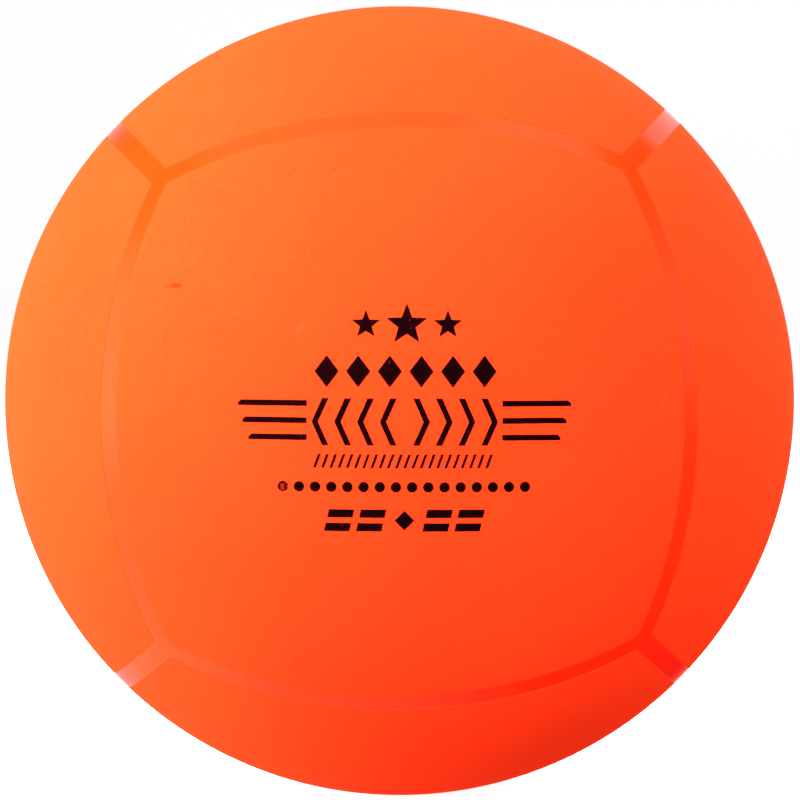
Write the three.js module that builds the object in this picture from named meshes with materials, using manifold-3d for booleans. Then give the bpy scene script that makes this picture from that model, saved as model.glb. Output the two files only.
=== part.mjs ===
// A small inflated indoor ball, as it is laid up before moulding: a rubber bladder with its needle valve,
// a thread winding, a rubber carcass, six cover panels and the twelve seam strips between them.
// Millimetres, +Z up, origin at the centre of the ball. The decorated panel faces -Y, the valve faces +Y.

import * as THREE from 'three';
import { mergeVertices } from 'three/addons/utils/BufferGeometryUtils.js';
import Module from 'manifold-3d';

const wasm = await Module();
wasm.setup();

// Overall size and the layers of the wall, from the outside in
const ballDiameter = 152;
const coverThickness = 2;
const carcassThickness = 1;
const windingThickness = 0.6;
const bladderThickness = 1.2;
const seamWidth = 3.4;

// Room left between pieces that are bonded together on the real ball
const layerGap = 0.3;
const seamGap = 0.25;

// Needle valve: the seat is bonded inside the bladder, and the plug snaps into it. Lips and walls are
// measured outwards from what they surround.
const needleHoleDiameter = 1.6;
const needleHoleFloor = 2;
const plugDiameter = 4.2;
const plugHeadLip = 1;
const plugHeadThickness = 1.2;
const plugHeadRecess = 0.3;
const bulbLip = 0.4;
const bulbLength = 2.4;
const neckWall = 1.1;
const neckRecess = 0.4;
const flangeWidth = 8.5;
const flangeThickness = 1.5;
const tubeLength = 10;
const valveGap = 0.3;

// Facets: cells across a panel, cells across each sixth of an inner layer, and sides round the valve
const panelCells = 12;
const layerCells = 8;
const valveSides = 24;
const flangeSteps = 4;

const finishes = {
  panel: { color: 0xff5a24, roughness: 0.75 },
  seam: { color: 0xff4d1c, roughness: 0.35 },
  carcass: { color: 0x3a3532, roughness: 0.8 },
  winding: { color: 0xe6e0d2, roughness: 0.9 },
  bladder: { color: 0x1d1c1c, roughness: 0.6 },
  valve: { color: 0x26211f, roughness: 0.65 },
};

// A facet's middle lies nearer the centre than its corners do, by this factor, on a sphere of square cells
const facetDepth = (cells) => Math.cos((Math.PI / 2 / cells) * Math.SQRT1_2);

// Radii of the layers, at the corners of their facets
const ballRadius = ballDiameter / 2;
const coverInner = ballRadius - coverThickness;
const carcassOuter = coverInner * facetDepth(panelCells) - layerGap;
const carcassInner = carcassOuter - carcassThickness;
const windingOuter = carcassInner - layerGap;
const windingInner = windingOuter - windingThickness;
const bladderOuter = windingInner - layerGap;
const bladderInner = bladderOuter - bladderThickness;
const flangeOuter = bladderInner * facetDepth(layerCells) - layerGap;
const flangeInner = flangeOuter - flangeThickness;

// Radii of the valve, from its axis out
const needleRadius = needleHoleDiameter / 2;
const plugRadius = plugDiameter / 2;
const boreRadius = plugRadius + valveGap;
const bulbRadius = boreRadius + bulbLip;
const headRadius = plugRadius + plugHeadLip;
const headBoreRadius = headRadius + valveGap;
const neckRadius = headBoreRadius + neckWall;
const flangeRadius = neckRadius + flangeWidth;

// Heights along the valve's axis, from the ball's centre
const neckTop = ballRadius - neckRecess;
const headTop = neckTop - plugHeadRecess;
const headBottom = headTop - plugHeadThickness;
const seatShoulder = headBottom - valveGap;
const tubeEnd = flangeInner - tubeLength;
const bulbTop = tubeEnd - valveGap;
const bulbEnd = bulbTop - bulbLength;
const needleHoleEnd = bulbEnd + needleHoleFloor;

const group = new THREE.Group();
group.name = 'indoor_ball';

function addPiece(name, finish, geometry, turn = [0, 0, 0]) {
  const piece = new THREE.Mesh(geometry, new THREE.MeshStandardMaterial(finish));
  piece.name = name;
  piece.rotation.set(...turn);
  group.add(piece);
}

// Leaves only positions, and makes neighbouring faces share their corners
function weld(geometry) {
  geometry.deleteAttribute('normal');
  geometry.deleteAttribute('uv');
  return mergeVertices(geometry, 1e-5);
}

function toSolid(geometry) {
  const welded = weld(geometry);
  return new wasm.Manifold(new wasm.Mesh({
    numProp: 3,
    vertProperties: new Float32Array(welded.attributes.position.array),
    triVerts: new Uint32Array(welded.index.array),
  }));
}

function toGeometry(solid) {
  const mesh = solid.getMesh();
  const geometry = new THREE.BufferGeometry();
  geometry.setAttribute('position', new THREE.BufferAttribute(mesh.vertProperties, 3));
  geometry.setIndex(new THREE.BufferAttribute(mesh.triVerts, 1));
  geometry.computeVertexNormals();
  return geometry;
}

// Moves every corner of a box to where place(point) puts it
function bend(box, place) {
  const positions = box.attributes.position;
  const point = new THREE.Vector3();
  for (let i = 0; i < positions.count; i += 1) {
    point.fromBufferAttribute(positions, i);
    place(point);
    positions.setXYZ(i, point.x, point.y, point.z);
  }
  const bent = weld(box);
  bent.computeVertexNormals();
  return bent;
}

// The larger root of a*x*x + b*x + c
const largerRoot = (a, b, c) => (-b + Math.sqrt(b * b - 4 * a * c)) / (2 * a);

// A box with x and y from -1 to 1 becomes a panel round +Z. Its four sides are flat and run parallel to the
// planes of the seams, which pass through the ball's centre, so the gap for a seam strip is even all along.
function makePanel() {
  const box = new THREE.BoxGeometry(2, 2, 1, panelCells, panelCells, 1);
  const sideOffset = Math.SQRT2 * (seamWidth / 2 + seamGap);
  return bend(box, (point) => {
    const across = Math.tan((point.x * Math.PI) / 4);
    const along = Math.tan((point.y * Math.PI) / 4);
    const radius = point.z > 0 ? ballRadius : coverInner;
    const spread = across * across + along * along + 1;
    const reach = largerRoot(spread, 2 * sideOffset, sideOffset * sideOffset - radius * radius);
    point.set(reach * across, reach * along, reach + sideOffset);
  });
}

// A box becomes the seam strip whose middle is on +Z, running along Y. Three strips meet at each end,
// so each end comes to a point between two mitres.
function makeSeam() {
  const box = new THREE.BoxGeometry(seamWidth, 2, 1, 2, panelCells, 1);
  const mitreGap = Math.SQRT2 * seamGap;
  const endAngle = Math.atan(Math.SQRT1_2);
  return bend(box, (point) => {
    const side = Math.abs(point.x);
    const along = Math.SQRT2 * Math.tan(point.y * endAngle);
    const radius = point.z > 0 ? ballRadius : coverInner;
    const cut = side * Math.SQRT1_2 + mitreGap;
    const square = along * along;
    const height = largerRoot(
      1 + square / 2,
      -Math.SQRT2 * square * cut,
      square * cut * cut + side * side - radius * radius,
    );
    point.set(point.x, along * (height * Math.SQRT1_2 - cut), height);
  });
}

// A closed ball of six square patches
function makeBall(radius) {
  const box = new THREE.BoxGeometry(2, 2, 2, layerCells, layerCells, layerCells);
  return toSolid(bend(box, (point) => {
    const direction = ['x', 'y', 'z'].map((axis) => Math.tan((point[axis] * Math.PI) / 4));
    point.set(...direction).setLength(radius);
  }));
}

// The round hole for the valve's neck, clear of the flats of the neck's sides
function makeValveHole() {
  const radius = (neckRadius + valveGap) / Math.cos(Math.PI / valveSides);
  const hole = new THREE.CylinderGeometry(radius, radius, ballRadius, valveSides);
  hole.translate(0, ballRadius, 0);
  return toSolid(hole);
}

const valveHole = makeValveHole();

function makeLayer(outerRadius, innerRadius) {
  return toGeometry(makeBall(outerRadius).subtract(makeBall(innerRadius)).subtract(valveHole));
}

function lathe(profile) {
  const points = profile.map(([radius, height]) => new THREE.Vector2(radius, height));
  const turned = weld(new THREE.LatheGeometry(points, valveSides));
  turned.computeVertexNormals();
  return turned;
}

// Points of an arc round the ball's centre, between two distances from the valve's axis
function flangeArc(radius, fromAxis, toAxis) {
  const start = Math.asin(fromAxis / radius);
  const end = Math.asin(toAxis / radius);
  return Array.from({ length: flangeSteps + 1 }, (_, step) => {
    const angle = start + ((end - start) * step) / flangeSteps;
    return [radius * Math.sin(angle), radius * Math.cos(angle)];
  });
}

// Neck, dished flange and inner tube in one, with a stepped bore for the plug
function makeValveSeat() {
  return lathe([
    [headBoreRadius, neckTop],
    [headBoreRadius, seatShoulder],
    [boreRadius, seatShoulder],
    [boreRadius, tubeEnd],
    [neckRadius, tubeEnd],
    ...flangeArc(flangeInner, neckRadius, flangeRadius),
    ...flangeArc(flangeOuter, flangeRadius, neckRadius),
    [neckRadius, neckTop],
    [headBoreRadius, neckTop],
  ]);
}

// Head, shank and a bulb that locks behind the seat's tube, with a blind hole for the needle
function makeValvePlug() {
  return lathe([
    [0, bulbEnd],
    [plugRadius, bulbEnd],
    [bulbRadius, (2 * bulbTop + bulbEnd) / 3],
    [bulbRadius, bulbTop],
    [plugRadius, bulbTop],
    [plugRadius, headBottom],
    [headRadius, headBottom],
    [headRadius, headTop],
    [needleRadius, headTop],
    [needleRadius, needleHoleEnd],
    [0, needleHoleEnd],
  ]);
}

addPiece('bladder', finishes.bladder, makeLayer(bladderOuter, bladderInner));
addPiece('winding', finishes.winding, makeLayer(windingOuter, windingInner));
addPiece('carcass', finishes.carcass, makeLayer(carcassOuter, carcassInner));
addPiece('valve_seat', finishes.valve, makeValveSeat());
addPiece('valve_plug', finishes.valve, makeValvePlug());

// Each panel is made round +Z and turned to its side of the ball
const quarter = Math.PI / 2;
const panelTurns = {
  front: [quarter, 0, 0],
  left: [0, -quarter, 0],
  right: [0, quarter, 0],
  top: [0, 0, 0],
  bottom: [2 * quarter, 0, 0],
};
for (const [side, turn] of Object.entries(panelTurns)) {
  addPiece(`panel_${side}`, finishes.panel, makePanel(), turn);
}

// The back panel is made in place, because the valve's neck comes out through it
const backPanel = makePanel().rotateX(-quarter);
addPiece('panel_back', finishes.panel, toGeometry(toSolid(backPanel).subtract(valveHole)));

// Each seam strip is made with its middle on +Z, running along Y, turned half a quarter about Y to lie
// between two panels, and then turned with the pair. Its name gives the two panels that it joins.
const seamTurns = {
  top_right: [0, quarter / 2, 0],
  top_left: [0, -quarter / 2, 0],
  bottom_right: [0, (3 * quarter) / 2, 0],
  bottom_left: [0, (-3 * quarter) / 2, 0],
  top_front: [quarter / 2, 0, quarter],
  top_back: [-quarter / 2, 0, quarter],
  bottom_front: [(3 * quarter) / 2, 0, quarter],
  bottom_back: [(-3 * quarter) / 2, 0, quarter],
  front_right: [quarter, quarter / 2, 0],
  front_left: [quarter, -quarter / 2, 0],
  back_right: [quarter, (3 * quarter) / 2, 0],
  back_left: [quarter, (-3 * quarter) / 2, 0],
};
for (const [pair, turn] of Object.entries(seamTurns)) {
  addPiece(`seam_${pair}`, finishes.seam, makeSeam(), turn);
}

export default group;
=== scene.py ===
from math import asin, ceil, cos, pi, radians, sin, sqrt, tan

import bmesh
import bpy
from mathutils import Matrix, Vector


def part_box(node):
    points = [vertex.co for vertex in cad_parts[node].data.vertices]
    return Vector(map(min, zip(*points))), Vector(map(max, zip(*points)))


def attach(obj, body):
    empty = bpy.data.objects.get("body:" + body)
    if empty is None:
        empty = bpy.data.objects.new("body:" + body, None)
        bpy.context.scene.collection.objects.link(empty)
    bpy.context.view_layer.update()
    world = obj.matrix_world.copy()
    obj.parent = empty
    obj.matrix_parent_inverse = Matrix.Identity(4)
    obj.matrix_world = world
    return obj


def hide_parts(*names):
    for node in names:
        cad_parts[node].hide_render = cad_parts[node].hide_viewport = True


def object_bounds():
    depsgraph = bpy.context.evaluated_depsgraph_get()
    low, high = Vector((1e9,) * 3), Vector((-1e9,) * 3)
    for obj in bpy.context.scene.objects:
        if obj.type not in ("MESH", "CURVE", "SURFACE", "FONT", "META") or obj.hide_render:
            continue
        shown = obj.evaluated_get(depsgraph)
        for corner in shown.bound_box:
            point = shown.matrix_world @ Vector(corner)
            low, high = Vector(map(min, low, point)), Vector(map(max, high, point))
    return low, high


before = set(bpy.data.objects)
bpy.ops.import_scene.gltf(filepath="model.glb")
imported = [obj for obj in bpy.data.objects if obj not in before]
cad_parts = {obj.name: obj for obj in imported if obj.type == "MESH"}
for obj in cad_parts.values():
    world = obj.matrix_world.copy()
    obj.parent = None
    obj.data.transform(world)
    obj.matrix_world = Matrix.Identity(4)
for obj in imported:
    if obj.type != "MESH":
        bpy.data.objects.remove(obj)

cadLow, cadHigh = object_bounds()
mm = 0.001
ballRadius = cadHigh.x
sideDirections = {
    "front": Vector((0, -1, 0)),
    "back": Vector((0, 1, 0)),
    "left": Vector((-1, 0, 0)),
    "right": Vector((1, 0, 0)),
    "top": Vector((0, 0, 1)),
    "bottom": Vector((0, 0, -1)),
}


# Small helpers for work in edit mode

def objectMode():
    if bpy.context.object and bpy.context.object.mode != "OBJECT":
        bpy.ops.object.mode_set(mode="OBJECT")


def deselect():
    objectMode()
    bpy.ops.object.select_all(action="DESELECT")


def pick(piece):
    deselect()
    piece.select_set(True)
    bpy.context.view_layer.objects.active = piece


def editMode(piece):
    pick(piece)
    bpy.ops.object.mode_set(mode="EDIT")
    bpy.ops.mesh.select_mode(type="VERT")


def placeInMesh():
    bpy.ops.object.transform_apply(location=True, rotation=True, scale=True)


# A piece of one vertex, left in edit mode: a tiny circle is merged into its middle
def startPoint(name, place):
    deselect()
    bpy.ops.mesh.primitive_circle_add(vertices=3, radius=mm, location=place)
    piece = bpy.context.object
    piece.name = name
    placeInMesh()
    editMode(piece)
    bpy.ops.mesh.select_all(action="SELECT")
    bpy.ops.mesh.merge(type="COLLAPSE")
    return piece


def mergeDoubles(distance=0.001 * mm):
    bpy.ops.mesh.select_all(action="SELECT")
    bpy.ops.mesh.remove_doubles(threshold=distance)


# Sweeps what is selected round an axis by the right-hand rule, against which the tool itself turns
def sweep(steps, angle, axis, middle=(0, 0, 0)):
    bpy.ops.mesh.spin(steps=steps, angle=-angle, center=middle, axis=axis)


# Turns all faces of an open patch so that they look away from the ball's centre
def faceOutward(piece):
    bpy.ops.mesh.select_all(action="SELECT")
    bpy.ops.mesh.normals_make_consistent(inside=False)
    mesh = bmesh.from_edit_mesh(piece.data)
    mesh.faces.ensure_lookup_table()
    face = mesh.faces[0]
    if face.normal.dot(face.calc_center_median()) < 0:
        bpy.ops.mesh.flip_normals()


# Marks vertices for the materials, in which a panel and a band run into each other across their joint
def markRim(piece, isRim):
    mesh = bmesh.from_edit_mesh(piece.data)
    rim = mesh.verts.layers.float.new("rim")
    for vertex in mesh.verts:
        vertex[rim] = 1.0 if isRim(vertex) else 0.0
    bmesh.update_edit_mesh(piece.data)


def applyModifier(piece, kind, **settings):
    pick(piece)
    modifier = piece.modifiers.new(kind.lower(), kind)
    for name, value in settings.items():
        setattr(modifier, name, value)
    bpy.ops.object.modifier_apply(modifier=modifier.name)


def roundEdges(piece, width, segments=2):
    applyModifier(
        piece,
        "BEVEL",
        width=width,
        segments=segments,
        limit_method="ANGLE",
        angle_limit=radians(40),
        harden_normals=True,
        use_clamp_overlap=True,
    )


def smooth(piece):
    pick(piece)
    bpy.ops.object.shade_smooth()


def finishPiece(piece, material, slot, *nodes):
    piece.data.materials.clear()
    piece.data.materials.append(material)
    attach(piece, "root")
    if nodes:
        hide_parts(*nodes)


# Small helpers for materials

def newFinish(name):
    material = bpy.data.materials.new(name)
    material.use_nodes = True
    tree = material.node_tree
    return material, tree, tree.nodes["Principled BSDF"]


def addNode(tree, kind, inputs=None, **settings):
    node = tree.nodes.new(kind)
    for name, value in settings.items():
        setattr(node, name, value)
    for name, value in (inputs or {}).items():
        if isinstance(value, bpy.types.NodeSocket):
            tree.links.new(value, node.inputs[name])
        else:
            node.inputs[name].default_value = value
    return node


def objectPlace(tree):
    return addNode(tree, "ShaderNodeTexCoord").outputs["Object"]


def addNoise(tree, place, size, detail=2, roughness=0.5):
    return addNode(
        tree,
        "ShaderNodeTexNoise",
        {"Vector": place, "Scale": 1 / size, "Detail": detail, "Roughness": roughness},
    ).outputs["Fac"]


def remap(tree, value, low, high, newLow, newHigh):
    return addNode(
        tree,
        "ShaderNodeMapRange",
        {"Value": value, "From Min": low, "From Max": high, "To Min": newLow, "To Max": newHigh},
    ).outputs["Result"]


def calculate(tree, operation, first, second):
    return addNode(tree, "ShaderNodeMath", {0: first, 1: second}, operation=operation).outputs[0]


def mixColours(tree, share, first, second, blend="MIX"):
    node = addNode(tree, "ShaderNodeMix", data_type="RGBA", blend_type=blend)
    for socket, value in ((node.inputs[0], share), (node.inputs[6], first), (node.inputs[7], second)):
        if isinstance(value, bpy.types.NodeSocket):
            tree.links.new(value, socket)
        else:
            socket.default_value = value
    return node.outputs[2]


def addBump(tree, height, depth):
    inputs = {"Height": height, "Strength": 1.0, "Distance": depth}
    return addNode(tree, "ShaderNodeBump", inputs).outputs["Normal"]


# A finish's two colours, mixed by a noise, which stays mostly between 0.3 and 0.7
def mixTint(tree, noise, finish):
    return mixColours(tree, remap(tree, noise, 0.3, 0.7, 0, 1), finish["colour"], finish["paler"])


panelFinish = {
    "colour": (1.0, 0.049, 0.0083, 1),
    "paler": (1.0, 0.053, 0.0092, 1),
    "roughness": (0.57, 0.67),
    "specular": 0.04,
    "cloudSize": 24 * mm,
    "grainSize": 0.8 * mm,
    "grainDepth": 0.028 * mm,
    # speckle is partly the rubber's own mottling and partly painted shade in the pits of the grain
    "speckleAndPaintedShade": (0.85, 1.15),
    # glow is painted light: red that fills the shade, with a faint even painted sheen in green and blue
    "glow": (0.72, 0.019, 0.0045, 1),
    "rimShare": 0.2,
}
bandFinish = {
    "colour": (1.0, 0.0424, 0.0022, 1),
    "paler": (1.0, 0.0436, 0.0026, 1),
    "roughness": (0.11, 0.16),
    "specular": 0.5,
    "cloudSize": 1.2 * mm,
    "rippleSize": 9 * mm,
    "rippleDepth": 0.02 * mm,
    # glow is painted light: red that fills the shade
    "glow": (0.74, 0.0, 0.001, 1),
    "rimShare": 0.55,
}


# How far a finish has run into its neighbour's: not at all inside the piece, and by its share at the joint
def addRimShare(tree, share):
    rim = addNode(tree, "ShaderNodeAttribute", attribute_name="rim").outputs["Fac"]
    return calculate(tree, "MULTIPLY", rim, share)


# The finish glows, almost only in red, as painted light: the glow stands in for the pigment's fluorescence
# and lifts the red in the shaded parts
def addPaintedGlow(tree, shader, rimShare, own, neighbour):
    tree.links.new(mixColours(tree, rimShare, own, neighbour), shader.inputs["Emission Color"])
    shader.inputs["Emission Strength"].default_value = 1


# Small scuffs and specks from handling, each an ellipse placed by the degrees right and up at which it lies
marks = {
    "red scuff": {
        "right": -34.4, "up": 18.2, "tilt": 2, "size": (2.4, 0.55), "colour": (0.95, 0.018, 0.004, 1),
    },
    "high speck": {
        "right": -10.5, "up": 35.9, "tilt": 0, "size": (0.55, 0.35), "colour": (0.35, 0.012, 0.006, 1),
    },
    "top speck": {
        "right": 22.0, "up": 44.7, "tilt": 35, "size": (0.55, 0.3), "colour": (0.25, 0.012, 0.008, 1),
    },
    "faint speck": {
        "right": -18.6, "up": 35.1, "tilt": 0, "size": (0.5, 0.4), "colour": (0.9, 0.035, 0.006, 1),
    },
    "pale smudge": {
        "right": -14.0, "up": 12.2, "tilt": 60, "size": (1.6, 0.7), "colour": (1.0, 0.062, 0.016, 1),
    },
    "side smudge": {
        "right": 39.4, "up": 0.7, "tilt": 80, "size": (2.6, 0.9), "colour": (1.0, 0.062, 0.016, 1),
    },
}
markDepth = 6 * mm
markStrength = 0.85
markFade = 1.6  # where a mark ends, counted in its own half size


def addMarks(tree, place, colour, ragged):
    for mark in marks.values():
        right, up = radians(mark["right"]), radians(mark["up"])
        middle = Vector((sin(right) * cos(up), -cos(right) * cos(up), sin(up))) * ballRadius
        halfLength, halfHeight = (size * mm for size in mark["size"])
        local = addNode(
            tree,
            "ShaderNodeMapping",
            {
                "Vector": place,
                "Location": middle,
                "Rotation": (-up, radians(-mark["tilt"]), right),
                "Scale": (halfLength, markDepth, halfHeight),
            },
            vector_type="TEXTURE",
        ).outputs["Vector"]
        away = addNode(tree, "ShaderNodeVectorMath", {0: local}, operation="LENGTH").outputs["Value"]
        edge = calculate(tree, "ADD", away, ragged)
        share = remap(tree, edge, 1.0, markFade, markStrength, 0)
        colour = mixColours(tree, share, colour, mark["colour"])
    return colour


def makePanelRubber():
    material, tree, shader = newFinish("matte orange rubber")
    place = objectPlace(tree)
    rimShare = addRimShare(tree, panelFinish["rimShare"])
    clouds = addNoise(tree, place, panelFinish["cloudSize"], detail=3)
    grain = addNoise(tree, place, panelFinish["grainSize"], detail=3, roughness=0.6)
    tint = mixTint(tree, clouds, panelFinish)
    tint = addMarks(tree, place, tint, grain)
    tint = mixColours(tree, rimShare, tint, bandFinish["colour"])
    # The speckle darkens the low points of the grain that the bump also uses: partly the rubber's own
    # mottling and partly painted shade in the pits of the grain
    speckleAndPaintedShade = remap(tree, grain, 0.3, 0.7, *panelFinish["speckleAndPaintedShade"])
    speckled = mixColours(tree, 1.0, tint, speckleAndPaintedShade, blend="MULTIPLY")
    tree.links.new(speckled, shader.inputs["Base Color"])
    tree.links.new(remap(tree, grain, 0.2, 0.8, *panelFinish["roughness"]), shader.inputs["Roughness"])
    shader.inputs["Specular IOR Level"].default_value = panelFinish["specular"]
    tree.links.new(addBump(tree, grain, panelFinish["grainDepth"]), shader.inputs["Normal"])
    # painted glow that lifts the red in shade, with a faint painted sheen
    addPaintedGlow(tree, shader, rimShare, panelFinish["glow"], bandFinish["glow"])
    return material


def makeBandRubber():
    material, tree, shader = newFinish("glossy orange rubber")
    place = objectPlace(tree)
    rimShare = addRimShare(tree, bandFinish["rimShare"])
    ripple = addNoise(tree, place, bandFinish["rippleSize"], detail=2)
    clouds = addNoise(tree, place, bandFinish["cloudSize"], detail=3)
    tint = mixTint(tree, clouds, bandFinish)
    tint = mixColours(tree, rimShare, tint, panelFinish["colour"])
    tree.links.new(tint, shader.inputs["Base Color"])
    tree.links.new(remap(tree, clouds, 0.3, 0.7, *bandFinish["roughness"]), shader.inputs["Roughness"])
    shader.inputs["Specular IOR Level"].default_value = bandFinish["specular"]
    tree.links.new(addBump(tree, ripple, bandFinish["rippleDepth"]), shader.inputs["Normal"])
    # painted glow that lifts the red in shade
    addPaintedGlow(tree, shader, rimShare, bandFinish["glow"], panelFinish["glow"])
    return material


inkFinish = {
    "colour": (0.004, 0.0004, 0.0010, 1),
    "paler": (0.014, 0.0012, 0.0022, 1),
    "roughness": (0.5, 0.65),
    "specular": 0.08,
    "grainSize": 0.6 * mm,
    "grainDepth": 0.008 * mm,
    "pinholeSize": 0.8 * mm,
    "pinholeEdge": (0.70, 0.76),
    "worn": (0.4, 0.016, 0.004, 1),
    "wornPlace": Vector((-22.3, -71.5, -12.8)) * mm,
    "wornReach": (0.8 * mm, 4.5 * mm),
    "wornStrength": 0.25,
}


def makePrintInk():
    material, tree, shader = newFinish("black pad print")
    place = objectPlace(tree)
    grain = addNoise(tree, place, inkFinish["grainSize"], detail=3, roughness=0.6)
    thin = addNoise(tree, place, inkFinish["pinholeSize"], detail=3)
    fromWorn = addNode(
        tree, "ShaderNodeVectorMath", {0: place, 1: inkFinish["wornPlace"]}, operation="DISTANCE"
    ).outputs["Value"]
    wear = remap(tree, fromWorn, *inkFinish["wornReach"], inkFinish["wornStrength"], 0)
    gone = remap(tree, calculate(tree, "ADD", thin, wear), *inkFinish["pinholeEdge"], 0, 1)
    shown = mixColours(tree, gone, mixTint(tree, grain, inkFinish), inkFinish["worn"])
    tree.links.new(shown, shader.inputs["Base Color"])
    tree.links.new(remap(tree, grain, 0.3, 0.7, *inkFinish["roughness"]), shader.inputs["Roughness"])
    shader.inputs["Specular IOR Level"].default_value = inkFinish["specular"]
    tree.links.new(addBump(tree, grain, inkFinish["grainDepth"]), shader.inputs["Normal"])
    return material


valveFinish = {
    "colour": (0.018, 0.015, 0.014, 1),
    "paler": (0.045, 0.038, 0.034, 1),
    "roughness": (0.45, 0.65),
    "grainSize": 0.5 * mm,
    "grainDepth": 0.02 * mm,
    "wearSize": 2.5 * mm,
}


def makeValveRubber():
    material, tree, shader = newFinish("valve rubber")
    place = objectPlace(tree)
    grain = addNoise(tree, place, valveFinish["grainSize"], detail=4)
    wear = addNoise(tree, place, valveFinish["wearSize"], detail=3)
    share = remap(tree, wear, 0.3, 0.75, 0, 1)
    tint = mixColours(tree, share, valveFinish["colour"], valveFinish["paler"])
    tree.links.new(tint, shader.inputs["Base Color"])
    tree.links.new(remap(tree, grain, 0.3, 0.7, *valveFinish["roughness"]), shader.inputs["Roughness"])
    tree.links.new(addBump(tree, grain, valveFinish["grainDepth"]), shader.inputs["Normal"])
    return material


carcassFinish = {
    "colour": (0.032, 0.027, 0.024, 1),
    "paler": (0.06, 0.052, 0.046, 1),
    "roughness": (0.7, 0.9),
    "grainSize": 0.8 * mm,
    "grainDepth": 0.05 * mm,
    "patchSize": 12 * mm,
}


def makeCarcassRubber():
    material, tree, shader = newFinish("carcass rubber")
    place = objectPlace(tree)
    grain = addNoise(tree, place, carcassFinish["grainSize"], detail=4)
    patches = addNoise(tree, place, carcassFinish["patchSize"], detail=3)
    tree.links.new(mixTint(tree, patches, carcassFinish), shader.inputs["Base Color"])
    tree.links.new(remap(tree, grain, 0.3, 0.7, *carcassFinish["roughness"]), shader.inputs["Roughness"])
    tree.links.new(addBump(tree, grain, carcassFinish["grainDepth"]), shader.inputs["Normal"])
    return material


threadFinish = {
    "colour": (0.22, 0.19, 0.14, 1),
    "paler": (0.68, 0.62, 0.5, 1),
    "roughness": (0.95, 0.75),
    "pitch": 3 * mm,
    "depth": 0.3 * mm,
    "turns": ((0, 0, 0), (1.05, 0.4, 0.2), (-0.9, 0.7, 1.3)),
}


# Threads as bands round three different axes, the one with the strongest band lying on top
def makeWoundThread():
    material, tree, shader = newFinish("wound thread")
    place = objectPlace(tree)
    height = None
    for turn in threadFinish["turns"]:
        turned = addNode(tree, "ShaderNodeMapping", {"Vector": place, "Rotation": turn}).outputs["Vector"]
        threads = addNode(
            tree,
            "ShaderNodeTexWave",
            {"Vector": turned, "Scale": 1 / threadFinish["pitch"], "Distortion": 0.6, "Detail": 1},
            wave_type="BANDS",
            bands_direction="Z",
        ).outputs["Fac"]
        height = calculate(tree, "MAXIMUM", height, threads) if height else threads
    tint = mixColours(tree, height, threadFinish["colour"], threadFinish["paler"])
    tree.links.new(tint, shader.inputs["Base Color"])
    tree.links.new(remap(tree, height, 0, 1, *threadFinish["roughness"]), shader.inputs["Roughness"])
    tree.links.new(addBump(tree, height, threadFinish["depth"]), shader.inputs["Normal"])
    return material


bladderFinish = {
    "colour": (0.009, 0.009, 0.009, 1),
    "paler": (0.05, 0.05, 0.052, 1),
    "roughness": (0.35, 0.6),
    "bloomSize": 9 * mm,
    "bloomDepth": 0.05 * mm,
}


def makeBladderRubber():
    material, tree, shader = newFinish("bladder rubber")
    bloom = addNoise(tree, objectPlace(tree), bladderFinish["bloomSize"], detail=5, roughness=0.65)
    share = remap(tree, bloom, 0.35, 0.75, 0, 1)
    tint = mixColours(tree, share, bladderFinish["colour"], bladderFinish["paler"])
    tree.links.new(tint, shader.inputs["Base Color"])
    tree.links.new(remap(tree, bloom, 0.3, 0.7, *bladderFinish["roughness"]), shader.inputs["Roughness"])
    tree.links.new(addBump(tree, bloom, bladderFinish["bloomDepth"]), shader.inputs["Normal"])
    return material


panelRubber = makePanelRubber()
bandRubber = makeBandRubber()
printInk = makePrintInk()
valveRubber = makeValveRubber()
carcassRubber = makeCarcassRubber()
woundThread = makeWoundThread()
bladderRubber = makeBladderRubber()
print("finishes made:", len(bpy.data.materials))


cover = {
    "thickness": 2.0 * mm,
    "bandWidth": 3.9 * mm,
    "bandRecess": 0.05 * mm,
    "edgeRound": 0.08 * mm,
    "rimWidth": 0.5 * mm,
    "panelCells": 64,
    "bandCells": 56,
    "bandColumns": 8,
    "bandSpare": radians(3),
}
halfBand = cover["bandWidth"] / 2

# The seams are laid out like the edges of a cube, but run up to a millimetre and a half off an even one.
# Each place where three of them meet is shifted by this many millimetres to the right, to the back and up.
meetingShifts = {
    ("front", "top", "right"): (-1.2, -0.4, 0.7),
    ("front", "top", "left"): (0.3, -0.7, -0.4),
    ("front", "bottom", "left"): (-0.7, 0.5, 0.2),
    ("front", "bottom", "right"): (0.4, 0.2, 0.2),
    ("back", "top", "right"): (0.4, 0, -0.4),
    ("back", "top", "left"): (-0.7, 0, -0.7),
    ("back", "bottom", "left"): (-1.0, 0, 1.0),
    ("back", "bottom", "right"): (-0.4, 0, -0.4),
}


def meetingPlace(sides, shift):
    corner = sum((sideDirections[side] for side in sides), Vector())
    return (corner.normalized() * ballRadius + Vector(shift) * mm).normalized()


meetings = {sides: meetingPlace(sides, shift) for sides, shift in meetingShifts.items()}


# The ends of the seam between two panels, each with the name of the third panel that meets there
def seamEnds(one, two):
    ends = []
    for sides, place in meetings.items():
        if one in sides and two in sides:
            third = next(side for side in sides if side not in (one, two))
            ends.append((place, third))
    return ends


# The normal of a seam's plane, which passes through the ball's centre, pointing into the panel inside
def seamNormal(inside, outside):
    (start, _), (end, _) = seamEnds(inside, outside)
    normal = start.cross(end).normalized()
    return normal if normal.dot(sideDirections[inside]) > 0 else -normal


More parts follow.
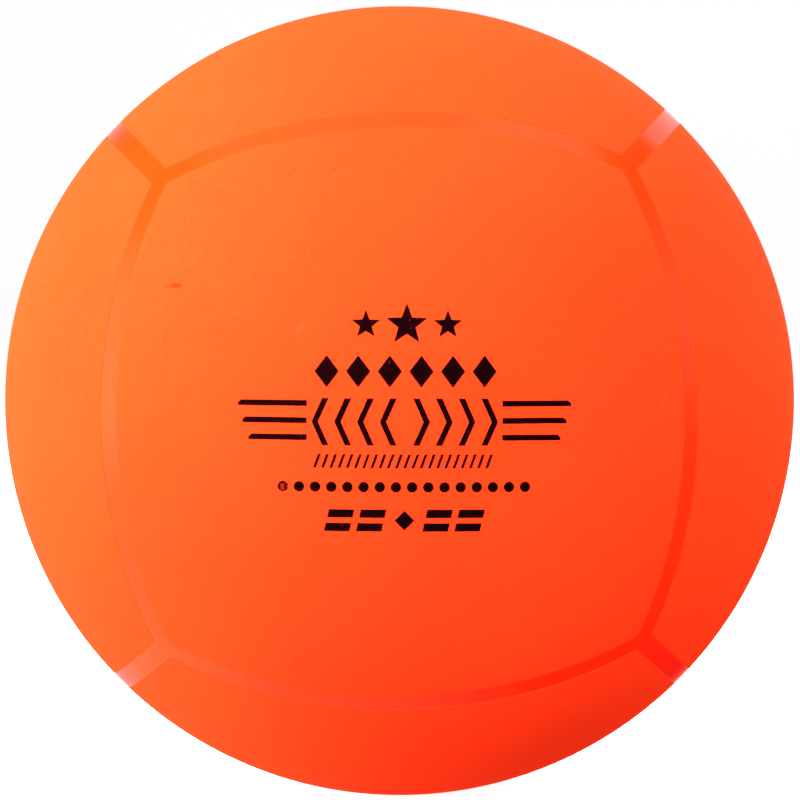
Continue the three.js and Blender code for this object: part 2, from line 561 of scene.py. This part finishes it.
# A panel's corner lies on the ball, half a band away from the planes of two seams
def panelCorner(side, neighbour, otherNeighbour):
    normal = seamNormal(side, neighbour)
    otherNormal = seamNormal(side, otherNeighbour)
    away = (normal + otherNormal) * halfBand / (1 + normal.dot(otherNormal))
    along = normal.cross(otherNormal).normalized()
    if along.dot(sideDirections[side]) < 0:
        along.negate()
    return away + along * sqrt(ballRadius**2 - away.length_squared)


# The four panels round this one, anticlockwise as seen from outside
def neighboursOf(side):
    outward = sideDirections[side]
    direction = outward.yzx
    neighbours = []
    for _ in range(4):
        neighbours.append(max(sideDirections, key=lambda name: sideDirections[name].dot(direction)))
        direction = outward.cross(direction)
    return neighbours


def makePanel(side):
    neighbours = neighboursOf(side)
    corner = panelCorner(side, neighbours[-1], neighbours[0])
    panel = startPoint(f"cover_{side}", corner)
    for neighbour, following in zip(neighbours, neighbours[1:] + neighbours[:1]):
        inward = seamNormal(side, neighbour)
        middle = halfBand * inward
        nextCorner = panelCorner(side, neighbour, following)
        angle = (corner - middle).angle(nextCorner - middle)
        sweep(cover["panelCells"], angle, inward, middle)
        corner = nextCorner
    mergeDoubles()
    mesh = bmesh.from_edit_mesh(panel.data)
    first = min(mesh.verts, key=lambda vertex: (vertex.co - corner).length)
    mesh.select_history.add(first)
    bpy.ops.mesh.fill_grid(span=cover["panelCells"])
    bpy.ops.mesh.select_all(action="SELECT")
    bpy.ops.mesh.inset(thickness=cover["rimWidth"], use_boundary=True, use_even_offset=True)
    markRim(panel, lambda vertex: vertex.is_boundary)
    faceOutward(panel)
    applyModifier(
        panel, "CAST", cast_type="SPHERE", factor=1, size=ballRadius, use_radius_as_size=False
    )
    applyModifier(panel, "SOLIDIFY", thickness=cover["thickness"], offset=-1)
    smooth(panel)
    return panel


valve = {
    "headLip": 0.3 * mm,
    "neckWall": 1.1 * mm,
    "panelClearance": 0.12 * mm,
    "layerClearance": 0.3 * mm,
    "edgeRound": 0.18 * mm,
    "sides": 72,
    "drillSides": 96,
}
plugLow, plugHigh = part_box("valve_plug")
neckRadius = plugHigh.x + valve["headLip"] + valve["neckWall"]


# Lets the neck of the valve out
def cutValveHole(piece, radius):
    deselect()
    bpy.ops.mesh.primitive_cylinder_add(
        vertices=valve["drillSides"],
        radius=radius,
        depth=ballRadius,
        location=(0, ballRadius, 0),
        rotation=(pi / 2, 0, 0),
    )
    drill = bpy.context.object
    placeInMesh()
    applyModifier(piece, "BOOLEAN", operation="DIFFERENCE", solver="EXACT", object=drill)
    bpy.data.objects.remove(drill)


for side in sideDirections:
    panel = makePanel(side)
    if side == "back":
        cutValveHole(panel, neckRadius + valve["panelClearance"])
    roundEdges(panel, cover["edgeRound"])
    finishPiece(panel, panelRubber, "panel_rubber", f"panel_{side}")
print("cover panels made")


# A strip swept along the seam and past both its ends, each of which two mitres then cut to a point
def makeBand(one, two):
    radius = ballRadius - cover["bandRecess"]
    normal = seamNormal(one, two)
    (start, _), (end, _) = seamEnds(one, two)
    along = start.cross(end).normalized()
    spare = cover["bandSpare"]
    first = Matrix.Rotation(-spare, 3, along) @ start
    band = startPoint(f"band_{one}_{two}", first * sqrt(radius**2 - halfBand**2) - halfBand * normal)
    sweep(cover["bandColumns"], 2 * asin(halfBand / radius), first.cross(normal))
    bpy.ops.mesh.select_all(action="SELECT")
    sweep(cover["bandCells"], start.angle(end) + 2 * spare, along)
    for _, third in seamEnds(one, two):
        for side, other in ((one, two), (two, one)):
            keep = seamNormal(side, third) - seamNormal(side, other)
            bpy.ops.mesh.select_all(action="SELECT")
            bpy.ops.mesh.bisect(plane_co=(0, 0, 0), plane_no=-keep, clear_outer=True, threshold=1e-7)
    mergeDoubles()
    markRim(band, lambda vertex: abs(vertex.co.dot(normal)) > 0.99 * halfBand)
    faceOutward(band)
    applyModifier(band, "SOLIDIFY", thickness=cover["thickness"] - cover["bandRecess"], offset=-1)
    smooth(band)
    bpy.ops.object.shade_smooth_by_angle(angle=radians(35))
    return band


for first in ("top", "bottom", "front", "back"):
    for second in ("right", "left", "front", "back"):
        if f"seam_{first}_{second}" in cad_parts:
            finishPiece(makeBand(first, second), bandRubber, "seam_rubber", f"seam_{first}_{second}")
print("bands made")


layers = {
    "carcass": (1.0 * mm, carcassRubber, "carcass_rubber"),
    "winding": (0.6 * mm, woundThread, "winding_thread"),
    "bladder": (1.2 * mm, bladderRubber, "bladder_rubber"),
}
layerCuts = 31

for node, (thickness, material, slot) in layers.items():
    radius = max(vertex.co.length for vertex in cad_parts[node].data.vertices)
    deselect()
    bpy.ops.mesh.primitive_cube_add(size=2 * radius)
    layer = bpy.context.object
    layer.name = f"inner_{node}"
    editMode(layer)
    bpy.ops.mesh.select_all(action="SELECT")
    bpy.ops.mesh.subdivide(number_cuts=layerCuts)
    objectMode()
    applyModifier(layer, "CAST", cast_type="SPHERE", factor=1, size=radius, use_radius_as_size=False)
    applyModifier(layer, "SOLIDIFY", thickness=thickness, offset=-1)
    smooth(layer)
    cutValveHole(layer, neckRadius + valve["layerClearance"])
    pick(layer)
    bpy.ops.object.shade_smooth_by_angle(angle=radians(35))
    finishPiece(layer, material, slot, node)
print("layers made")


# Spins a profile of (distance from the axis, height) round the valve's axis
def spinProfile(name, profile):
    places = [Vector((across, height, 0)) for across, height in profile]
    piece = startPoint(name, places[0])
    for place, nextPlace in zip(places, places[1:]):
        bpy.ops.mesh.extrude_region_move(TRANSFORM_OT_translate={"value": nextPlace - place})
    mergeDoubles()
    sweep(valve["sides"], 2 * pi, (0, 1, 0))
    mergeDoubles(0.01 * mm)
    bpy.ops.mesh.normals_make_consistent(inside=False)
    objectMode()
    smooth(piece)
    return piece


def flangeArc(radius, fromAxis, toAxis, steps=8):
    start = asin(fromAxis / radius)
    end = asin(toAxis / radius)
    angles = [start + (end - start) * step / steps for step in range(steps + 1)]
    return [(radius * sin(angle), radius * cos(angle)) for angle in angles]


seatLow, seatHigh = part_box("valve_seat")
seat = {
    "headBore": plugHigh.x + valve["headLip"],
    "bore": 2.4 * mm,
    "flangeThickness": 1.5 * mm,
}
plug = {
    "headThickness": 1.2 * mm,
    "shank": 2.1 * mm,
    "bulb": 2.8 * mm,
    "bulbLength": 2.4 * mm,
    "needleHole": 0.8 * mm,
    "holeFloor": 2.0 * mm,
    "dimple": 0.5 * mm,
}


def makeSeat():
    flangeEdge = max(
        vertex.co.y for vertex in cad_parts["valve_seat"].data.vertices
        if abs(vertex.co.xz.length - seatHigh.x) < 0.05 * mm
    )
    flangeOuter = sqrt(seatHigh.x**2 + flangeEdge**2)
    flangeInner = flangeOuter - seat["flangeThickness"]
    shoulder = plugHigh.y - plug["headThickness"] - valve["headLip"]
    return spinProfile("valve_socket", [
        (seat["headBore"], seatHigh.y),
        (seat["headBore"], shoulder),
        (seat["bore"], shoulder),
        (seat["bore"], seatLow.y),
        (neckRadius, seatLow.y),
        *flangeArc(flangeInner, neckRadius, seatHigh.x),
        *flangeArc(flangeOuter, seatHigh.x, neckRadius),
        (neckRadius, seatHigh.y),
        (seat["headBore"], seatHigh.y),
    ])


def makePlug():
    headTop = plugHigh.y
    headBottom = headTop - plug["headThickness"]
    bulbTop = plugLow.y + plug["bulbLength"]
    holeEnd = plugLow.y + plug["holeFloor"]
    return spinProfile("valve_stopper", [
        (0, plugLow.y),
        (plug["shank"], plugLow.y),
        (plug["bulb"], (2 * bulbTop + plugLow.y) / 3),
        (plug["bulb"], bulbTop),
        (plug["shank"], bulbTop),
        (plug["shank"], headBottom),
        (plugHigh.x, headBottom),
        (plugHigh.x, headTop),
        (plug["needleHole"] + plug["dimple"], headTop),
        (plug["needleHole"], headTop - plug["dimple"]),
        (plug["needleHole"], holeEnd),
        (0, holeEnd),
    ])


for piece, node in ((makeSeat(), "valve_seat"), (makePlug(), "valve_plug")):
    roundEdges(piece, valve["edgeRound"], segments=3)
    finishPiece(piece, valveRubber, "valve_rubber", node)
print("valve made")


# The print is made of flat shapes on a board in millimetres, then wrapped on to the front panel
artwork = {
    "middle": (0.7, -0.5),
    "tilt": radians(-1.1),
    "thickness": 0.06 * mm,
    "proud": 0.04 * mm,
    "cell": 1.5 * mm,
}


def addRound(corners, width, height, across, up):
    deselect()
    bpy.ops.mesh.primitive_circle_add(vertices=corners, radius=0.5, fill_type="NGON")
    bpy.context.object.scale = (width, height, 1)
    bpy.context.object.location = (across, up, 0)
    placeInMesh()
    return bpy.context.object


def addStar(size, across, up, waist=0.42):
    star = addRound(10, size, size, 0, 0)
    editMode(star)
    mesh = bmesh.from_edit_mesh(star.data)
    mesh.verts.ensure_lookup_table()
    bpy.ops.mesh.select_all(action="DESELECT")
    for vertex in mesh.verts:
        vertex.select = vertex.index % 2 == 1
    mesh.select_flush_mode()
    bpy.ops.transform.resize(value=(waist, waist, 1), center_override=(0, 0, 0))
    bpy.ops.mesh.select_all(action="SELECT")
    bpy.ops.transform.translate(value=(across, up, 0))
    objectMode()
    return star


# A bar whose upper edge leans over by slant and whose middle is pushed sideways by point. Its upper corner
# on the side that cut's sign gives is drawn in by cut.
def addBar(width, height, across, up, slant=0, point=0, cut=0):
    deselect()
    bpy.ops.mesh.primitive_plane_add(size=1)
    bar = bpy.context.object
    bar.scale = (width, height, 1)
    placeInMesh()
    editMode(bar)
    bpy.ops.mesh.select_all(action="SELECT")
    bpy.ops.mesh.bisect(plane_co=(0, 0, 0), plane_no=(0, 1, 0))
    for test, shift in (
        (lambda place: place.y > 0.1 * height, slant),
        (lambda place: abs(place.y) < 0.1 * height, point + slant / 2),
        (lambda place: place.y > 0.1 * height and place.x * cut > 0, -cut),
    ):
        mesh = bmesh.from_edit_mesh(bar.data)
        bpy.ops.mesh.select_all(action="DESELECT")
        for vertex in mesh.verts:
            vertex.select = test(vertex.co)
        mesh.select_flush_mode()
        bpy.ops.transform.translate(value=(shift, 0, 0))
    bpy.ops.mesh.select_all(action="SELECT")
    bpy.ops.transform.translate(value=(across - slant / 2, up, 0))
    objectMode()
    return bar


# Where the shapes of a row stand, evenly on both sides of its middle
def placesAlong(row):
    middle = (row["count"] - 1) / 2
    return [row["across"] + (index - middle) * row["pitch"] for index in range(row["count"])]


def printRow(name, shapes):
    deselect()
    for shape in shapes:
        shape.select_set(True)
    bpy.context.view_layer.objects.active = shapes[0]
    bpy.ops.object.join()
    row = bpy.context.object
    row.name = name
    row.scale = (mm, mm, mm)
    placeInMesh()
    editMode(row)
    bpy.ops.mesh.select_all(action="SELECT")
    bpy.ops.mesh.quads_convert_to_tris()
    for axis in (0, 1):
        low = min(vertex.co[axis] for vertex in bmesh.from_edit_mesh(row.data).verts)
        high = max(vertex.co[axis] for vertex in bmesh.from_edit_mesh(row.data).verts)
        count = ceil((high - low) / artwork["cell"])
        for step in range(1, count):
            place = low + (high - low) * step / count
            bpy.ops.mesh.select_all(action="SELECT")
            bpy.ops.mesh.bisect(
                plane_co=(place, place, 0), plane_no=(1 - axis, axis, 0), threshold=1e-8
            )
    mergeDoubles(0.0005 * mm)
    objectMode()
    across, up = artwork["middle"]
    board = Matrix.Translation((across * mm, -1.2 * ballRadius, up * mm))
    row.matrix_world = board @ Matrix.Rotation(pi / 2, 4, "X") @ Matrix.Rotation(artwork["tilt"], 4, "Z")
    placeInMesh()
    applyModifier(
        row,
        "SHRINKWRAP",
        wrap_method="PROJECT",
        use_project_y=True,
        use_positive_direction=True,
        use_negative_direction=False,
        target=bpy.data.objects["cover_front"],
    )
    applyModifier(
        row,
        "SOLIDIFY",
        thickness=artwork["thickness"],
        offset=2 * artwork["proud"] / artwork["thickness"] - 1,
    )
    smooth(row)
    pick(row)
    bpy.ops.object.shade_smooth_by_angle(angle=radians(40))
    finishPiece(row, printInk, "print_ink")


# Sizes and places of the rows are in millimetres on the board, to the right and up from its middle
stars = {"across": 0.3, "up": 16.8, "pitch": 7.4, "large": 7.8, "small": 5.4}
printRow("print_stars", [addStar(stars["large"], stars["across"], stars["up"])] + [
    addStar(stars["small"], stars["across"] + sign * stars["pitch"], stars["up"]) for sign in (-1, 1)
])

lozenges = {"across": 0.1, "up": 8.4, "count": 6, "pitch": 5.7, "width": 4.4, "height": 5.8}
printRow("print_lozenges", [
    addRound(4, lozenges["width"], lozenges["height"], place, lozenges["up"])
    for place in placesAlong(lozenges)
])

chevrons = {"across": 0, "up": -0.7, "count": 8, "pitch": 4.1, "width": 1.15, "height": 8.5, "point": 1.9}
printRow("print_chevrons", [
    addBar(
        chevrons["width"],
        chevrons["height"],
        place,
        chevrons["up"],
        point=chevrons["point"] if place > chevrons["across"] else -chevrons["point"],
    )
    for place in placesAlong(chevrons)
])

bars = {"across": -0.05, "start": 17.65, "height": 1.05, "cut": 0.6}
barLines = ((12.5, 2.6), (11.7, -0.5), (10.6, -3.55))  # the length of each and how far up it lies
printRow("print_bars", [
    addBar(
        length,
        bars["height"],
        bars["across"] + sign * (bars["start"] + length / 2),
        up,
        cut=sign * bars["cut"],
    )
    for length, up in barLines
    for sign in (-1, 1)
])

ticks = {"across": -0.3, "up": -7.8, "count": 22, "pitch": 1.48, "width": 0.5, "height": 2.5, "slant": 0.9}
printRow("print_ticks", [
    addBar(ticks["width"], ticks["height"], place, ticks["up"], slant=ticks["slant"])
    for place in placesAlong(ticks)
])

beads = {"across": -0.1, "up": -12.5, "count": 16, "pitch": 2.92, "size": 1.9, "corners": 24}
printRow("print_beads", [
    addRound(beads["corners"], beads["size"], beads["size"], place, beads["up"])
    for place in placesAlong(beads)
])

# Each block is two slanted bars with a slot between them
blocks = {
    "up": -18.6,
    "places": (-11.8, -6.0, 6.0, 11.8),
    "width": 4.6,
    "height": 1.5,
    "fromSlot": 1.25,
    "lean": 0.28,
    "slant": 0.34,
    "lozenge": 3.6,
}
printRow("print_blocks", [
    addBar(
        blocks["width"],
        blocks["height"],
        place + sign * blocks["lean"],
        blocks["up"] + sign * blocks["fromSlot"],
        slant=blocks["slant"],
    )
    for place in blocks["places"]
    for sign in (-1, 1)
] + [addRound(4, blocks["lozenge"], blocks["lozenge"], 0, blocks["up"])])
print("print made")


camera = {
    "lens": 262.5,
    "sensor": 36,
    "distance": 14.82 * ballRadius,
    "rise": radians(2.02),
    "swing": radians(-0.17),
    "roll": radians(-0.86),
    "slide": 0.09 * mm,
    "lift": 0.12 * mm,
    "near": 0.05,
    "far": 50,
}


def makeCamera():
    eye = bpy.data.objects.new("eye", bpy.data.cameras.new("eye"))
    bpy.context.scene.collection.objects.link(eye)
    eye.data.lens = camera["lens"]
    eye.data.sensor_width = camera["sensor"]
    eye.data.clip_start = camera["near"]
    eye.data.clip_end = camera["far"]
    turn = (
        Matrix.Rotation(camera["swing"], 4, "Z")
        @ Matrix.Rotation(pi / 2 - camera["rise"], 4, "X")
        @ Matrix.Rotation(camera["roll"], 4, "Z")
    )
    eye.matrix_world = turn @ Matrix.Translation((camera["slide"], camera["lift"], camera["distance"]))
    bpy.context.scene.camera = eye


makeCamera()
print("camera placed")


studio = {
    "floorRadius": 4.0,
    "floorGap": 0.05 * mm,
    "curve": ((1.2, 0.4), (0.4, 1.2)),
    "wallHeight": 6.0,
    "roofRise": 1.0,
    "sides": 48,
    "air": 0.02,
}
paperFinish = {
    "colour": (0.86, 0.86, 0.86, 1),
    "paler": (0.9, 0.9, 0.9, 1),
    "mottlingSize": 0.5,
    "roughness": 0.9,
    "glow": 0.9,
}


# The floor curves up all round into a wall, and a low roof closes it
def makeFloor():
    paper = startPoint("floor", (0, 0, -ballRadius - studio["floorGap"]))
    steps = [(studio["floorRadius"], 0), *studio["curve"], (0, studio["wallHeight"])]
    wallRadius = sum(outward for outward, _ in steps)
    for outward, upward in steps + [(-wallRadius, studio["roofRise"])]:
        bpy.ops.mesh.extrude_region_move(TRANSFORM_OT_translate={"value": (outward, 0, upward)})
    bpy.ops.mesh.select_all(action="SELECT")
    sweep(studio["sides"], 2 * pi, (0, 0, 1))
    mergeDoubles(0.1 * mm)
    bpy.ops.mesh.normals_make_consistent(inside=True)
    objectMode()
    smooth(paper)
    material, tree, shader = newFinish("pale studio paper")
    mottling = addNoise(tree, objectPlace(tree), paperFinish["mottlingSize"], detail=2)
    tint = mixColours(tree, mottling, paperFinish["colour"], paperFinish["paler"])
    tree.links.new(tint, shader.inputs["Base Color"])
    shader.inputs["Roughness"].default_value = paperFinish["roughness"]
    shader.inputs["Specular IOR Level"].default_value = 0.0
    shader.inputs["Emission Color"].default_value = (1, 1, 1, 1)
    shader.inputs["Emission Strength"].default_value = paperFinish["glow"]
    paper.data.materials.append(material)
    paper.visible_diffuse = False
    paper.visible_glossy = False
    paper.visible_shadow = False


# Lamps and cards look at the ball. Swing is the angle from straight in front, and clock the direction
# round the front, anticlockwise from the right. Lamps give soft light that the gloss doesn't mirror.
lamps = {
    "front right": {"swing": 45, "clock": 45, "power": 17},
    "front left": {"swing": 45, "clock": 180, "power": 17},
    "high left": {"swing": 70, "clock": 135, "power": 10},
    "key": {"swing": 90, "clock": 120, "power": 30},
    "left": {"swing": 90, "clock": 180, "power": 25},
    "rim upper right": {"swing": 115, "clock": 45, "power": 11},
    "rim left": {"swing": 115, "clock": 180, "power": 12},
    "rim lower left": {"swing": 115, "clock": 225, "power": 5},
    "back right": {"swing": 140, "clock": 0, "power": 9},
    "back top": {"swing": 140, "clock": 90, "power": 9},
}
lampAway = 1.3
lampSize = 0.6

# Cards are what the gloss mirrors: full inside the inner angle and faded out at the outer one
warm = (1, 1, 0.6, 1)
white = (1, 1, 1, 1)
cards = {
    "left card": {"swing": 85, "clock": 168, "inner": 13, "outer": 31, "glow": 1.05, "colour": warm},
    "lower left card": {"swing": 110, "clock": 202, "inner": 15, "outer": 49, "glow": 0.8, "colour": warm},
    "upper right card": {"swing": 150, "clock": 42, "inner": 20, "outer": 27, "glow": 0.6, "colour": white},
    "high right card": {"swing": 94, "clock": 62, "inner": 9, "outer": 20, "glow": 0.92, "colour": warm},
    "top card": {"swing": 91, "clock": 103, "inner": 22, "outer": 31, "glow": 0.5, "colour": warm},
    "right card": {"swing": 97, "clock": 14, "inner": 1, "outer": 28, "glow": 0.6, "colour": warm},
    "low card": {"swing": 102, "clock": 259, "inner": 4, "outer": 37, "glow": 0.5, "colour": warm},
    "back card": {"swing": 162, "clock": 200, "inner": 3, "outer": 36, "glow": 0.55, "colour": white},
    "low back card": {"swing": 168, "clock": 310, "inner": 4, "outer": 22, "glow": 0.1, "colour": warm},
}
cardAway = 1.5
cardSides = 48


def aimAtBall(swing, clock, away):
    swing, clock = radians(swing), radians(clock)
    direction = Vector((sin(swing) * cos(clock), -cos(swing), sin(swing) * sin(clock)))
    turn = direction.to_track_quat("Z", "Y").to_matrix().to_4x4()
    return Matrix.Translation(direction * away) @ turn


def makeLamps():
    for name, lamp in lamps.items():
        light = bpy.data.lights.new(name, "AREA")
        light.energy = lamp["power"]
        light.shape = "DISK"
        light.size = lampSize
        bulb = bpy.data.objects.new(name, light)
        bpy.context.scene.collection.objects.link(bulb)
        bulb.matrix_world = aimAtBall(lamp["swing"], lamp["clock"], lampAway)
        bulb.visible_camera = False
        bulb.visible_glossy = False
        light.cycles.use_multiple_importance_sampling = False


def makeCards():
    for name, card in cards.items():
        inner, outer = (cardAway * tan(radians(card[edge])) for edge in ("inner", "outer"))
        deselect()
        bpy.ops.mesh.primitive_circle_add(vertices=cardSides, radius=outer, fill_type="NGON")
        sheet = bpy.context.object
        sheet.name = name
        sheet.matrix_world = aimAtBall(card["swing"], card["clock"], cardAway)
        material, tree, shader = newFinish(name)
        tree.nodes.remove(shader)
        fromMiddle = addNode(
            tree, "ShaderNodeVectorMath", {0: objectPlace(tree)}, operation="LENGTH"
        ).outputs["Value"]
        fade = addNode(
            tree,
            "ShaderNodeMapRange",
            {"Value": fromMiddle, "From Min": inner, "From Max": outer, "To Min": card["glow"], "To Max": 0},
            interpolation_type="SMOOTHSTEP",
        ).outputs["Result"]
        light = addNode(tree, "ShaderNodeEmission", {"Color": card["colour"], "Strength": fade})
        clear = addNode(tree, "ShaderNodeBsdfTransparent")
        both = addNode(tree, "ShaderNodeAddShader", {0: light.outputs[0], 1: clear.outputs[0]})
        tree.links.new(both.outputs[0], tree.nodes["Material Output"].inputs["Surface"])
        sheet.data.materials.append(material)
        sheet.visible_camera = False
        sheet.visible_diffuse = False
        sheet.visible_shadow = False


def makeSky():
    world = bpy.data.worlds.new("studio air")
    world.use_nodes = True
    background = world.node_tree.nodes["Background"]
    background.inputs["Color"].default_value = (1, 1, 1, 1)
    background.inputs["Strength"].default_value = studio["air"]
    bpy.context.scene.world = world


makeFloor()
makeLamps()
makeCards()
makeSky()
bpy.context.scene.view_settings.view_transform = "Standard"
print("studio made")
